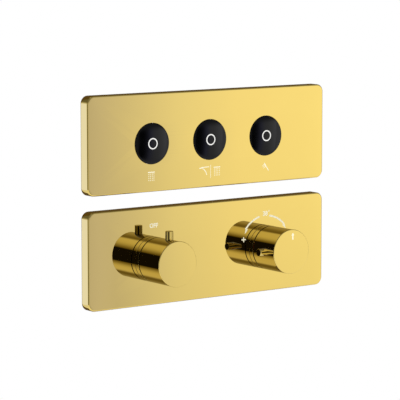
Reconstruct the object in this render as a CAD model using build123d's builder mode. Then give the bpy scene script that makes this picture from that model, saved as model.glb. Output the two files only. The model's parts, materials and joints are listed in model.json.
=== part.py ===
from build123d import *
import os
from math import cos, pi, sin, sqrt, tan

# Concealed thermostatic shower control: two wall plates, the controls on them and the
# valve bodies in the wall. Millimetres. X to the right, Y into the wall, Z up.
# The finished wall is the plane Y = 0, and Z = 0 is halfway between the two plates.

# Trim plates
plate_w = 300.0
plate_h = 100.0
plate_t = 12.0
plate_gap = 16.0
plate_wall = 3.0
plate_corner_r = 8.0
plate_edge_r = 1.4
edge_break = 0.2
plate_z = (plate_gap + plate_h) / 2

# Push buttons on the upper plate
button_x = {"left": -72.5, "middle": 0.0, "right": 72.5}
button_z = plate_z - 0.9
button_r = 20.75
button_gap = 0.25
button_rim = 0.8
button_dome = 1.2
button_back = -5.0
button_travel = 3.5
ring_r = 5.15
ring_line = 1.2
ring_depth = 0.8

# Knobs on the lower plate
knob_z = -plate_z - 3.1
knob_x = {"flow": -70.5, "temperature": 74.5}
knob_r = 23.25
knob_reach = 42.0
knob_edge_r = 0.3
base_ring_t = 5.9
base_foot_cut = 0.5
shadow_gap = 1.6
lever_r = 4.0
lever_edge_r = 0.4
lever_up = 8.7
lever_y = -39.3
lever_angle = {"flow": 90.0, "temperature": 180.0}
turn_range = {"flow": (0.0, 90.0), "temperature": (-120.0, 60.0)}

# Sleeves, spindles and stops behind the knobs
sleeve_r = 20.0
sleeve_bore = 17.0
spindle_r = 4.0
running_gap = 0.05
drive_side = 5.4
hub_r = 6.5
nose_r = 9.0
lug_half = 6.5
lug_play = 1.0

# Castings in the wall
body_y = 45.0
boss_face = 20.0
mixer_r = 22.0
diverter_r = 20.0
mixer_half = 112.0
diverter_half = 96.0
mixer_boss_r = 21.0
mixer_socket_r = 13.5
diverter_boss_r = 17.0
diverter_socket_r = 12.0
pad_y = 68.0
rail_x = 36.25
thread_r = 9.3
thread_len = 15.0
port_boss_r = 15.0
port_reach = 30.0
riser_r = 11.0
riser_socket_r = 13.0

plate_face = -plate_t
ring_face = plate_face - base_ring_t
knob_back = ring_face - shadow_gap
knob_face = plate_face - knob_reach

os.makedirs("parts", exist_ok=True)


def front_plane(y):
    """Plane square to the wall's depth at Y = y, looking out into the room."""
    return Plane.XZ.offset(-y)


def turned(x, z, outline):
    """Piece turned about a line into the wall at (x, z), from (depth, radius) points."""
    side = Plane(origin=(x, 0, z), x_dir=(0, 1, 0), z_dir=(1, 0, 0))
    with BuildPart() as piece:
        with BuildSketch(side):
            with BuildLine():
                Polyline(*outline, close=True)
            make_face()
        revolve(axis=Axis((x, 0, z), (0, 1, 0)))
    return piece


def hexagon(plane, across, length):
    """Spanner hexagon standing on a plane, with the corners of its far end turned down."""
    corner_r = across / sqrt(3)
    corner_cut = corner_r - across / 2
    with BuildPart() as head:
        with BuildSketch(plane):
            Circle(corner_r)
        extrude(amount=length)
        far_end = head.faces().sort_by(Axis(plane.origin, plane.z_dir))[-1]
        chamfer(far_end.edges(), corner_cut, corner_cut * tan(pi / 6), reference=far_end)
        with BuildSketch(plane):
            RegularPolygon(radius=across / 2, side_count=6, major_radius=False)
        extrude(amount=length, mode=Mode.INTERSECT)
    return head


def write(piece, name):
    """Labels a finished piece and writes it to its own file."""
    piece.part.label = name
    export_step(piece.part, f"parts/{name}.step")


# Trim plates: polished shells, open at the back, with round holes through the face


def trim_plate(centre_z, hole_places, hole_r):
    """Flat shell with rounded corners, a softened front edge and round holes."""
    with BuildPart() as plate:
        with BuildSketch(front_plane(0)):
            with Locations((0, centre_z)):
                RectangleRounded(plate_w, plate_h, plate_corner_r)
        extrude(amount=plate_t)
        fillet(plate.faces().sort_by(Axis.Y)[0].edges(), plate_edge_r)
        with BuildSketch(front_plane(0)):
            with Locations((0, centre_z)):
                RectangleRounded(
                    plate_w - 2 * plate_wall, plate_h - 2 * plate_wall, plate_corner_r - plate_wall
                )
        extrude(amount=plate_t - plate_wall, mode=Mode.SUBTRACT)
        with BuildSketch(front_plane(0)):
            with Locations(*hole_places):
                Circle(hole_r)
        extrude(amount=plate_t, mode=Mode.SUBTRACT)
    return plate


button_places = [(x, button_z) for x in button_x.values()]
knob_places = [(x, knob_z) for x in knob_x.values()]
sleeve_gap = 0.3

button_plate = trim_plate(plate_z, button_places, button_r + button_gap)
write(button_plate, "button_plate")

thermostat_plate = trim_plate(-plate_z, knob_places, sleeve_r + sleeve_gap)
write(thermostat_plate, "thermostat_plate")

# Foam gaskets and moulded carriers inside the plates
gasket_t = 3.0
gasket_width = 6.0
carrier_play = 2.0
carrier_w = plate_w - 2 * (plate_wall + carrier_play)
carrier_h = plate_h - 2 * (plate_wall + carrier_play)
carrier_floor = 2.0
carrier_rim = 2.0
carrier_corner_r = 4.0
carrier_top = plate_wall - plate_t
guide_wall = 2.0
snap_length = 14.0
snap_height = 3.0
snap_lead = 1.0
snap_x = 110.0
button_guide_play = 0.65
sleeve_guide_play = 1.0
screw_r = 2.0


def gasket(centre_z):
    """Frame of foam that closes the plate's rim against the wall."""
    outer_w = plate_w - 2 * plate_wall
    outer_h = plate_h - 2 * plate_wall
    with BuildPart() as foam:
        with BuildSketch(front_plane(0)):
            with Locations((0, centre_z)):
                RectangleRounded(outer_w, outer_h, plate_corner_r - plate_wall)
                RectangleRounded(
                    outer_w - 2 * gasket_width,
                    outer_h - 2 * gasket_width,
                    plate_wall,
                    mode=Mode.SUBTRACT,
                )
        extrude(amount=gasket_t)
    return foam


def carrier(centre_z, places, row_z, guide_r):
    """Moulded tray with a rim, a guide collar round each control and snap wedges."""
    with BuildPart() as tray:
        with BuildSketch(front_plane(-gasket_t)):
            with Locations((0, centre_z)):
                RectangleRounded(carrier_w, carrier_h, carrier_corner_r)
        extrude(amount=carrier_floor)
        with BuildSketch(front_plane(-gasket_t)):
            with Locations((0, centre_z)):
                RectangleRounded(carrier_w, carrier_h, carrier_corner_r)
                RectangleRounded(
                    carrier_w - 2 * carrier_rim,
                    carrier_h - 2 * carrier_rim,
                    carrier_corner_r - carrier_rim,
                    mode=Mode.SUBTRACT,
                )
            with Locations(*places):
                Circle(guide_r + guide_wall)
        extrude(amount=-carrier_top - gasket_t)
        with BuildSketch(front_plane(0)):
            with Locations(*places):
                Circle(guide_r)
            with Locations((-rail_x, row_z), (rail_x, row_z)):
                Circle(screw_r)
        extrude(amount=plate_t, mode=Mode.SUBTRACT)
        # Wedges on the long edges snap against the plate's inner walls
        for side in (-1, 1):
            for x in (-snap_x, 0, snap_x):
                edge_z = centre_z + side * carrier_h / 2
                with BuildSketch(Plane.YZ.offset(x - snap_length / 2)):
                    with BuildLine():
                        Polyline(
                            (carrier_top + snap_lead, edge_z),
                            (carrier_top + snap_lead + snap_height, edge_z + side * carrier_play),
                            (carrier_top + 2 * snap_lead + snap_height, edge_z),
                            close=True,
                        )
                    make_face()
                extrude(amount=snap_length)
    return tray


write(gasket(plate_z), "button_plate_gasket")
write(gasket(-plate_z), "thermostat_plate_gasket")
button_carrier = carrier(plate_z, button_places, button_z, button_r + button_guide_play)
write(button_carrier, "button_plate_carrier")
knob_carrier = carrier(-plate_z, knob_places, knob_z, sleeve_r + sleeve_guide_play)
write(knob_carrier, "thermostat_plate_carrier")

# Push buttons: cap, inlaid ring, plunger, return spring and valve cartridge
cap_wall = 1.6
cap_skin = -10.8
stem_boss_r = 5.0
stem_boss_end = -6.0
stem_r = 3.0
stem_top = -11.0
flange_r = 7.0
flange_end = -4.5
plunger_end = 36.0
plunger_tip = 1.0
nose_chamfer = 1.0
cartridge_floor = 3.0
nose_face = 6.0
hex_face = 12.0
cartridge_hex = 27.0
cartridge_end = 44.0
spring_wire = 0.5
spring_r = 5.6
spring_turns = 4


def button_blank(x):
    """Domed disc of the cap before its ring groove is cut, with the hollow back."""
    crown = plate_face - button_rim - button_dome
    rim = plate_face - button_rim
    side = Plane(origin=(x, 0, button_z), x_dir=(0, 1, 0), z_dir=(1, 0, 0))
    with BuildPart() as blank:
        with BuildSketch(side):
            with BuildLine():
                TangentArc((crown, 0), (rim, button_r - edge_break), tangent=(0, 1))
                Polyline(
                    (rim, button_r - edge_break),
                    (rim + edge_break, button_r),
                    (button_back, button_r),
                    (button_back, button_r - cap_wall),
                    (cap_skin, button_r - cap_wall),
                    (cap_skin, stem_boss_r),
                    (stem_boss_end, stem_boss_r),
                    (stem_boss_end, stem_r),
                    (stem_top, stem_r),
                    (stem_top, 0),
                    (crown, 0),
                )
            make_face()
        revolve(axis=Axis((x, 0, button_z), (0, 1, 0)))
    return blank


def biarc_helix(x, z, radius, start, end, turns):
    """Helix about a line into the wall, in two tangent arcs for each quarter turn."""
    pieces = 4 * turns
    pitch = (end - start) / turns
    steep = pitch / (2 * pi)
    length = sqrt(radius**2 + steep**2)

    def place(k):
        angle = k * pi / 2
        return Vector(x + radius * cos(angle), start + pitch * k / 4, z + radius * sin(angle))

    def heading(k):
        angle = k * pi / 2
        return Vector(-radius * sin(angle), steep, radius * cos(angle)) / length

    with BuildLine() as wire:
        for k in range(pieces):
            first, last = place(k), place(k + 1)
            out, into = heading(k), heading(k + 1)
            chord = last - first
            both = out + into
            # Both arcs leave their ends by the same length, so that they meet tangent
            a = both.dot(both) - 4
            b = -2 * chord.dot(both)
            c = chord.dot(chord)
            reach = (-b - sqrt(b * b - 4 * a * c)) / (2 * a)
            if reach < 0:
                reach = (-b + sqrt(b * b - 4 * a * c)) / (2 * a)
            middle = (first + out * reach + last - into * reach) / 2
            arc = TangentArc(first, middle, tangent=out)
            TangentArc(middle, last, tangent=arc % 1)
    return wire


def coil_spring(x, z, radius, wire_r, start, end, turns):
    """Round wire wound along the helix, standing between its two seats."""
    route = biarc_helix(x, z, radius, start + wire_r, end - wire_r, turns)
    path = route.wires()[0]
    with BuildPart() as spring:
        with BuildSketch(Plane(origin=path @ 0, z_dir=path % 0)):
            RegularPolygon(radius=wire_r, side_count=6)
        sweep(path=path)
    return spring


for name, x in button_x.items():
    with BuildPart() as button_cap:
        add(button_blank(x).part)
        with BuildSketch(front_plane(plate_face - button_rim - button_dome + ring_depth)):
            with Locations((x, button_z)):
                Circle(ring_r + ring_line / 2)
                Circle(ring_r - ring_line / 2, mode=Mode.SUBTRACT)
        extrude(amount=button_dome, mode=Mode.SUBTRACT)
    write(button_cap, f"{name}_button_cap")

    with BuildPart() as button_ring:
        add(button_blank(x).part)
        with BuildSketch(front_plane(plate_face - button_rim - button_dome + ring_depth)):
            with Locations((x, button_z)):
                Circle(ring_r + ring_line / 2)
                Circle(ring_r - ring_line / 2, mode=Mode.SUBTRACT)
        extrude(amount=button_dome, mode=Mode.INTERSECT)
    write(button_ring, f"{name}_button_ring")

    button_plunger = turned(
        x,
        button_z,
        [
            (stem_top, 0),
            (stem_top, stem_r),
            (stem_boss_end, stem_r),
            (stem_boss_end, flange_r),
            (flange_end, flange_r),
            (flange_end, spindle_r),
            (plunger_end - plunger_tip, spindle_r),
            (plunger_end, spindle_r - plunger_tip),
            (plunger_end, 0),
        ],
    )
    write(button_plunger, f"{name}_button_plunger")

    button_spring = coil_spring(
        x, button_z, spring_r, spring_wire, flange_end, nose_face, spring_turns
    )
    write(button_spring, f"{name}_button_spring")

    with BuildPart() as button_cartridge:
        with BuildSketch(front_plane(cartridge_end)):
            with Locations((x, button_z)):
                Circle(diverter_socket_r)
        extrude(amount=cartridge_end - boss_face)
        shoulder = Plane(origin=(x, boss_face, button_z), x_dir=(1, 0, 0), z_dir=(0, -1, 0))
        add(hexagon(shoulder, cartridge_hex, boss_face - hex_face).part)
        with BuildSketch(front_plane(hex_face)):
            with Locations((x, button_z)):
                Circle(nose_r)
        extrude(amount=hex_face - nose_face)
        chamfer(button_cartridge.faces().sort_by(Axis.Y)[0].edges(), nose_chamfer)
        with BuildSketch(front_plane(cartridge_end - cartridge_floor)):
            with Locations((x, button_z)):
                Circle(spindle_r + running_gap)
        extrude(amount=cartridge_end, mode=Mode.SUBTRACT)
    write(button_cartridge, f"{name}_button_cartridge")

# Lower plate: sleeve and base ring round each control, the same for both
lip_t = 1.4
lip_r = 17.2
sleeve_front = ring_face + lip_t

for name, x in knob_x.items():
    with BuildPart() as sleeve:
        with BuildSketch(front_plane(boss_face)):
            with Locations((x, knob_z)):
                Circle(sleeve_r)
                Circle(sleeve_bore, mode=Mode.SUBTRACT)
        extrude(amount=boss_face - sleeve_front)
    write(sleeve, f"{name}_sleeve")

    base_ring = turned(
        x,
        knob_z,
        [
            (plate_face, sleeve_r),
            (plate_face, knob_r - base_foot_cut),
            (plate_face - base_foot_cut, knob_r),
            (ring_face + edge_break, knob_r),
            (ring_face, knob_r - edge_break),
            (ring_face, lip_r),
            (sleeve_front, lip_r),
            (sleeve_front, sleeve_r),
        ],
    )
    write(base_ring, f"{name}_base_ring")

# Knobs: bored from the back, with a stepped bore for the hub, lever and set screw
knob_bore_r = 18.0
knob_bore_end = -34.0
hub_end = -47.0
lever_seat = 22.0
lever_thread_r = 2.5
lever_thread_end = 12.0
set_screw_r = 2.0
set_screw_top = 16.0
set_screw_hex = 2.0
set_screw_key = 2.0
drive_start = -32.0
drive_end = -44.0
hub_flange_r = 15.0
hub_flange_back = -30.0
stop_front = -24.0
stop_back = -20.0
stop_inner = 12.0
stop_outer = 16.0
lug_inner = 12.4
lug_outer = 15.6
lug_end = stop_back - 0.5


def sector(plane, inner, outer, start, sweep):
    """Face between two arcs about the plane's origin, from start over sweep degrees."""
    with BuildSketch(plane) as face:
        with BuildLine():
            far = CenterArc((0, 0), outer, start, sweep)
            near = CenterArc((0, 0), inner, start, sweep)
            Line(far @ 0, near @ 0)
            Line(far @ 1, near @ 1)
        make_face()
    return face


for name, x in knob_x.items():
    axis_plane = Plane(origin=(x, 0, knob_z), x_dir=(1, 0, 0), z_dir=(0, -1, 0))
    angle = lever_angle[name] * pi / 180
    radial = Vector(cos(angle), 0, sin(angle))
    lever_foot = Vector(x, lever_y, knob_z)
    down = Vector(0, 0, -1)

    with BuildPart() as knob:
        with BuildSketch(front_plane(knob_back)):
            with Locations((x, knob_z)):
                Circle(knob_r)
        extrude(amount=knob_back - knob_face)
        fillet(knob.faces().sort_by(Axis.Y)[0].edges(), knob_edge_r)
        chamfer(knob.faces().sort_by(Axis.Y)[-1].edges(), edge_break)
        with BuildSketch(front_plane(knob_back)):
            with Locations((x, knob_z)):
                Circle(knob_bore_r)
        extrude(amount=knob_back - knob_bore_end, mode=Mode.SUBTRACT)
        with BuildSketch(front_plane(knob_bore_end)):
            with Locations((x, knob_z)):
                Circle(hub_r)
        extrude(amount=knob_bore_end - hub_end, mode=Mode.SUBTRACT)
        with BuildSketch(Plane(origin=lever_foot + radial * lever_seat, z_dir=radial)):
            Circle(lever_r)
        extrude(amount=knob_r, mode=Mode.SUBTRACT)
        with BuildSketch(Plane(origin=lever_foot + radial * lever_thread_end, z_dir=radial)):
            Circle(lever_thread_r)
        extrude(amount=knob_r, mode=Mode.SUBTRACT)
        with BuildSketch(Plane(origin=lever_foot, z_dir=down)):
            Circle(set_screw_r)
        extrude(amount=knob_r + 1, mode=Mode.SUBTRACT)
    write(knob, f"{name}_knob")

    with BuildPart() as lever:
        with BuildSketch(Plane(origin=lever_foot + radial * lever_seat, z_dir=radial)):
            Circle(lever_r)
        extrude(amount=knob_r + lever_up - lever_seat)
        tip = lever.edges().sort_by(lambda e: (e.center() - lever_foot).dot(radial))[-1]
        fillet(tip, lever_edge_r)
        with BuildSketch(Plane(origin=lever_foot + radial * lever_thread_end, z_dir=radial)):
            Circle(lever_thread_r)
        extrude(amount=lever_seat - lever_thread_end)
    write(lever, f"{name}_lever")

    with BuildPart() as knob_screw:
        with BuildSketch(Plane(origin=lever_foot + down * hub_r, z_dir=down)):
            Circle(set_screw_r)
        extrude(amount=set_screw_top - hub_r)
        with BuildSketch(Plane(origin=lever_foot + down * set_screw_top, z_dir=down)):
            RegularPolygon(radius=set_screw_hex / 2, side_count=6, major_radius=False)
        extrude(amount=-set_screw_key, mode=Mode.SUBTRACT)
    write(knob_screw, f"{name}_knob_screw")

    with BuildPart() as knob_insert:
        with BuildSketch(front_plane(hub_flange_back)):
            with Locations((x, knob_z)):
                Circle(hub_flange_r)
        extrude(amount=hub_flange_back - knob_bore_end)
        with BuildSketch(front_plane(knob_bore_end)):
            with Locations((x, knob_z)):
                Circle(hub_r)
        extrude(amount=knob_bore_end - hub_end)
        lug = sector(
            axis_plane.offset(-lug_end),
            lug_inner,
            lug_outer,
            lever_angle[name] - lug_half,
            2 * lug_half,
        )
        extrude(lug.sketch, amount=lug_end - knob_bore_end)
        with BuildSketch(front_plane(hub_flange_back)):
            with Locations((x, knob_z)):
                Circle(spindle_r)
        extrude(amount=hub_flange_back - drive_start, mode=Mode.SUBTRACT)
        with BuildSketch(front_plane(drive_start)):
            with Locations((x, knob_z)):
                Rectangle(drive_side, drive_side)
        extrude(amount=drive_start - drive_end, mode=Mode.SUBTRACT)
    write(knob_insert, f"{name}_knob_insert")

    low, high = turn_range[name]
    slot_start = lever_angle[name] + low - lug_half - lug_play
    slot_sweep = high - low + 2 * (lug_half + lug_play)
    with BuildPart() as stop_ring:
        with BuildSketch(front_plane(stop_back)):
            with Locations((x, knob_z)):
                Circle(stop_outer)
                Circle(nose_r, mode=Mode.SUBTRACT)
        extrude(amount=stop_back - stop_front)
        slot = sector(
            axis_plane.offset(-stop_back), stop_inner, stop_outer + 1, slot_start, slot_sweep
        )
        extrude(slot.sketch, amount=stop_back - stop_front, mode=Mode.SUBTRACT)
    write(stop_ring, f"{name}_stop_ring")

# Flow control: housing, spindle and two ceramic discs
shoulder_face = 8.0
valve_hex = 29.0
flow_socket_end = 40.0
flow_chamber = 22.0
disc_r = 11.0
disc_t = 3.0
disc_seat_play = 0.3
disc_slot_l = 18.0
disc_slot_w = 5.0
disc_port_r = 2.5
disc_port_offset = 6.0
foot_face = 23.0
foot_r = 9.0
moving_disc_face = 27.0
fixed_disc_face = moving_disc_face + disc_t


def valve_housing(x, body_end):
    """Cartridge housing: long nose, spanner hexagon and the body in its socket."""
    with BuildPart() as housing:
        with BuildSketch(front_plane(body_end)):
            with Locations((x, knob_z)):
                Circle(mixer_socket_r)
        extrude(amount=body_end - boss_face)
        shoulder = Plane(origin=(x, boss_face, knob_z), x_dir=(1, 0, 0), z_dir=(0, -1, 0))
        add(hexagon(shoulder, valve_hex, boss_face - hex_face).part)
        with BuildSketch(front_plane(hex_face)):
            with Locations((x, knob_z)):
                Circle(mixer_socket_r - 0.5)
        extrude(amount=hex_face - shoulder_face)
        with BuildSketch(front_plane(shoulder_face)):
            with Locations((x, knob_z)):
                Circle(nose_r)
        extrude(amount=shoulder_face - stop_front)
        with BuildSketch(front_plane(body_end)):
            with Locations((x, knob_z)):
                Circle(spindle_r + running_gap)
        extrude(amount=body_end - stop_front, mode=Mode.SUBTRACT)
    return housing


def spindle(x, end, foot_start, foot_radius):
    """Spindle with a square drive at the front and a round foot at the back."""
    with BuildPart() as shaft:
        with BuildSketch(front_plane(foot_start)):
            with Locations((x, knob_z)):
                Circle(spindle_r)
        extrude(amount=foot_start - drive_start)
        with BuildSketch(front_plane(drive_start)):
            with Locations((x, knob_z)):
                Rectangle(drive_side, drive_side)
        extrude(amount=drive_start - drive_end)
        with BuildSketch(front_plane(end)):
            with Locations((x, knob_z)):
                Circle(foot_radius)
        extrude(amount=end - foot_start)
    return shaft


flow_x = knob_x["flow"]
with BuildPart() as flow_cartridge:
    add(valve_housing(flow_x, flow_socket_end).part)
    with BuildSketch(front_plane(flow_socket_end)):
        with Locations((flow_x, knob_z)):
            Circle(disc_r + disc_seat_play)
    extrude(amount=flow_socket_end - flow_chamber, mode=Mode.SUBTRACT)
write(flow_cartridge, "flow_cartridge")

write(spindle(flow_x, moving_disc_face, foot_face, foot_r), "flow_spindle")

with BuildPart() as flow_moving_disc:
    with BuildSketch(front_plane(fixed_disc_face)):
        with Locations((flow_x, knob_z)):
            Circle(disc_r)
            SlotOverall(disc_slot_l, disc_slot_w, mode=Mode.SUBTRACT)
    extrude(amount=disc_t)
write(flow_moving_disc, "flow_moving_disc")

with BuildPart() as flow_fixed_disc:
    with BuildSketch(front_plane(fixed_disc_face + disc_t)):
        with Locations((flow_x, knob_z)):
            Circle(disc_r + disc_seat_play)
        with Locations((flow_x, knob_z - disc_port_offset), (flow_x, knob_z + disc_port_offset)):
            Circle(disc_port_r, mode=Mode.SUBTRACT)
    extrude(amount=disc_t)
write(flow_fixed_disc, "flow_fixed_disc")

# Thermostat: housing, spindle, wax element and its spring
warm_x = knob_x["temperature"]
warm_socket_end = 52.0
warm_chamber = 16.0
warm_chamber_r = 10.0
warm_lip = 50.0
warm_lip_r = 7.0
warm_foot = 17.0
warm_foot_end = 19.0
warm_foot_r = 6.0
element_pin_r = 2.5
element_rim_r = 8.5
element_r = 6.0
element_cone = 2.0
element_tip = 21.5
element_head = 24.0
element_seat = 30.0
element_end = 42.0
warm_spring_r = 7.6
warm_spring_wire = 0.7
warm_spring_turns = 4

with BuildPart() as thermostat_cartridge:
    add(valve_housing(warm_x, warm_socket_end).part)
    with BuildSketch(front_plane(warm_lip)):
        with Locations((warm_x, knob_z)):
            Circle(warm_chamber_r)
    extrude(amount=warm_lip - warm_chamber, mode=Mode.SUBTRACT)
    with BuildSketch(front_plane(warm_socket_end)):
        with Locations((warm_x, knob_z)):
            Circle(warm_lip_r)
    extrude(amount=warm_socket_end - warm_lip, mode=Mode.SUBTRACT)
write(thermostat_cartridge, "thermostat_cartridge")

write(spindle(warm_x, warm_foot_end, warm_foot, warm_foot_r), "temperature_spindle")

thermostat_element = turned(
    warm_x,
    knob_z,
    [
        (element_tip, 0),
        (element_tip, element_pin_r),
        (element_head, element_pin_r),
        (element_head, element_rim_r),
        (element_seat, element_rim_r),
        (element_seat, element_r),
        (element_end - element_cone, element_r),
        (element_end, element_r - element_cone),
        (element_end, 0),
    ],
)
write(thermostat_element, "thermostat_element")

thermostat_spring = coil_spring(
    warm_x, knob_z, warm_spring_r, warm_spring_wire, element_seat, warm_lip, warm_spring_turns
)
write(thermostat_spring, "thermostat_spring")

# Brass bodies in the wall: a bar each, with sockets, pads and pipe ports brazed on
collar_r = 23.5
collar_t = 10.0
lug_r = 7.0
pad_r = 9.0
stud_end = 32.0
body_screw_r = 2.5
body_screw_end = 56.0
riser_socket_depth = 10.0
riser_port_r = 9.0
union_spigot_r = 13.0
union_spigot_end = 94.0
outlet_top = button_z + 28.0
outlet_socket_r = 11.0
outlet_socket_depth = 12.0
bar_chamfer = 4.0
riser_low = knob_z + port_reach
riser_high = button_z - port_reach


def bar(z, radius, half):
    """Round brass bar along X at height z."""
    with BuildPart() as blank:
        with BuildSketch(Plane.YZ.offset(-half)):
            with Locations((body_y, z)):
                Circle(radius)
        extrude(amount=2 * half)
    return blank


def port_blanks(z, places, boss_r, pipe_places):
    """Sockets to the front, screw pads at front and back, and pipe ports, before boring."""
    with BuildPart() as blanks:
        with BuildSketch(front_plane(body_y)):
            with Locations(*places):
                Circle(boss_r)
            with Locations((-rail_x, z), (rail_x, z)):
                Circle(lug_r)
        extrude(amount=body_y - boss_face)
        with BuildSketch(front_plane(pad_y)):
            with Locations((-rail_x, z), (rail_x, z)):
                Circle(pad_r)
        extrude(amount=pad_y - body_y)
        for (x, reach) in pipe_places:
            with BuildSketch(Plane.XY.offset(z)):
                with Locations((x, body_y)):
                    Circle(port_boss_r)
            extrude(amount=reach)
    return blanks


def body_bores(z, sockets, socket_r, riser_end, way):
    """Front sockets, riser socket and port, and the tapped holes for pillars and rails."""
    with BuildPart() as bores:
        with BuildSketch(front_plane(stud_end)):
            with Locations((-rail_x, z), (rail_x, z)):
                Circle(screw_r)
        extrude(amount=stud_end - boss_face)
        with BuildSketch(front_plane(pad_y)):
            with Locations((-rail_x, z), (rail_x, z)):
                Circle(body_screw_r)
        extrude(amount=pad_y - body_screw_end)
        for (x, end) in sockets:
            with BuildSketch(front_plane(end)):
                with Locations((x, z)):
                    Circle(socket_r)
            extrude(amount=end - boss_face)
        with BuildSketch(Plane.XY.offset(riser_end)):
            with Locations((0, body_y)):
                Circle(riser_socket_r)
        extrude(amount=way * riser_socket_depth)
        with BuildSketch(Plane.XY.offset(riser_end)):
            with Locations((0, body_y)):
                Circle(riser_port_r)
        extrude(amount=way * port_reach)
    return bores


with BuildPart() as mixer_bores:
    add(
        body_bores(
            knob_z,
            [(flow_x, flow_socket_end), (warm_x, warm_socket_end)],
            mixer_socket_r,
            riser_low,
            -1,
        ).part
    )
    for side in (-1, 1):
        with BuildSketch(Plane.YZ.offset(side * mixer_half)):
            with Locations((body_y, knob_z)):
                Circle(union_spigot_r)
        extrude(amount=side * (union_spigot_end - mixer_half))

with BuildPart() as mixer_body:
    add(bar(knob_z, mixer_r, mixer_half).part)
    for side in (-1, 1):
        with BuildSketch(Plane.YZ.offset(side * (mixer_half - collar_t))):
            with Locations((body_y, knob_z)):
                RegularPolygon(radius=collar_r, side_count=8, major_radius=False)
        extrude(amount=side * collar_t)
    add(mixer_bores.part, mode=Mode.SUBTRACT)
write(mixer_body, "mixer_body")

with BuildPart() as mixer_ports:
    add(port_blanks(knob_z, knob_places, mixer_boss_r, [(0, port_reach)]).part)
    add(bar(knob_z, mixer_r, mixer_half).part, mode=Mode.SUBTRACT)
    add(mixer_bores.part, mode=Mode.SUBTRACT)
write(mixer_ports, "mixer_ports")

with BuildPart() as diverter_bores:
    add(
        body_bores(
            button_z,
            [(x, cartridge_end) for x in button_x.values()],
            diverter_socket_r,
            riser_high,
            1,
        ).part
    )
    with BuildSketch(Plane.XY.offset(outlet_top)):
        with Locations(*[(x, body_y) for x in button_x.values()]):
            Circle(outlet_socket_r)
    extrude(amount=-outlet_socket_depth)

with BuildPart() as diverter_body:
    add(bar(button_z, diverter_r, diverter_half).part)
    chamfer(diverter_body.faces().sort_by(Axis.X)[0].edges(), bar_chamfer)
    chamfer(diverter_body.faces().sort_by(Axis.X)[-1].edges(), bar_chamfer)
    add(diverter_bores.part, mode=Mode.SUBTRACT)
write(diverter_body, "diverter_body")

with BuildPart() as diverter_ports:
    outlet_ports = [(x, outlet_top - button_z) for x in button_x.values()]
    add(port_blanks(button_z, button_places, diverter_boss_r, outlet_ports + [(0, -port_reach)]).part)
    add(bar(button_z, diverter_r, diverter_half).part, mode=Mode.SUBTRACT)
    add(diverter_bores.part, mode=Mode.SUBTRACT)
write(diverter_ports, "diverter_ports")

# Riser: pipe, union nuts over the bosses and O-rings in the sockets
riser_wall = 1.5
nut_hex = 36.0
nut_cover = 7.0
nut_end = 6.0
seal_r = 1.0
seal_depth = 5.0

with BuildPart() as riser_pipe:
    with BuildSketch(Plane.XY.offset(riser_low - riser_socket_depth)):
        with Locations((0, body_y)):
            Circle(riser_r)
            Circle(riser_r - riser_wall, mode=Mode.SUBTRACT)
    extrude(amount=riser_high - riser_low + 2 * riser_socket_depth)
write(riser_pipe, "riser_pipe")

with BuildPart() as riser_nuts:
    for (level, way) in ((riser_low, 1), (riser_high, -1)):
        for (heading, length, bore) in ((way, nut_end, riser_r), (-way, nut_cover, port_boss_r)):
            joint = Plane(origin=(0, body_y, level), x_dir=(1, 0, 0), z_dir=(0, 0, heading))
            add(hexagon(joint, nut_hex, length).part)
            with BuildSketch(joint):
                Circle(bore)
            extrude(amount=length, mode=Mode.SUBTRACT)
write(riser_nuts, "riser_nuts")

with BuildPart() as riser_seals:
    for (level, way) in ((riser_low, 1), (riser_high, -1)):
        with BuildSketch(Plane.XZ.offset(-body_y)):
            with Locations(((riser_r + riser_socket_r) / 2, level - way * seal_depth)):
                RegularPolygon(radius=seal_r, side_count=8)
        revolve(axis=Axis((0, body_y, 0), (0, 0, 1)))
write(riser_seals, "riser_seals")

# Inlets: hexagon unions with an inside thread, and check valves with strainers in them
union_hex = 34.0
union_end = 124.0
valve_r = 8.0
valve_mouth_r = 3.0
valve_cone_r = 6.0
valve_cone = 3.0
strainer_r = 4.0
strainer_end = union_end - thread_len

for name, side in (("hot", -1), ("cold", 1)):
    with BuildPart() as inlet_union:
        with BuildSketch(Plane.YZ.offset(side * union_spigot_end)):
            with Locations((body_y, knob_z)):
                Circle(union_spigot_r)
        extrude(amount=side * (mixer_half - union_spigot_end))
        bar_end = Plane(
            origin=(side * mixer_half, body_y, knob_z), x_dir=(0, 1, 0), z_dir=(side, 0, 0)
        )
        add(hexagon(bar_end, union_hex, union_end - mixer_half).part)
        with BuildSketch(Plane.YZ.offset(side * union_end)):
            with Locations((body_y, knob_z)):
                Circle(thread_r)
        extrude(amount=-side * thread_len, mode=Mode.SUBTRACT)
        with BuildSketch(Plane.YZ.offset(side * strainer_end)):
            with Locations((body_y, knob_z)):
                Circle(valve_r)
        extrude(amount=-side * (strainer_end - union_spigot_end), mode=Mode.SUBTRACT)
    write(inlet_union, f"{name}_inlet_union")

with BuildPart() as check_valves:
    for side in (-1, 1):
        with BuildSketch(Plane.XZ.offset(-body_y)):
            with BuildLine():
                Polyline(
                    (side * union_spigot_end, knob_z),
                    (side * union_spigot_end, knob_z + valve_mouth_r),
                    (side * (union_spigot_end + valve_cone), knob_z + valve_cone_r),
                    (side * (union_spigot_end + valve_cone), knob_z + valve_r),
                    (side * (strainer_end - valve_cone), knob_z + valve_r),
                    (side * strainer_end, knob_z + strainer_r),
                    (side * strainer_end, knob_z),
                    close=True,
                )
            make_face()
        revolve(axis=Axis((0, body_y, knob_z), (1, 0, 0)))
write(check_valves, "check_valves")

# Outlets: one union with an inside thread above each push button
outlet_hex = 30.0
outlet_rise = 16.0
outlet_port_r = 7.0

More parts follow.
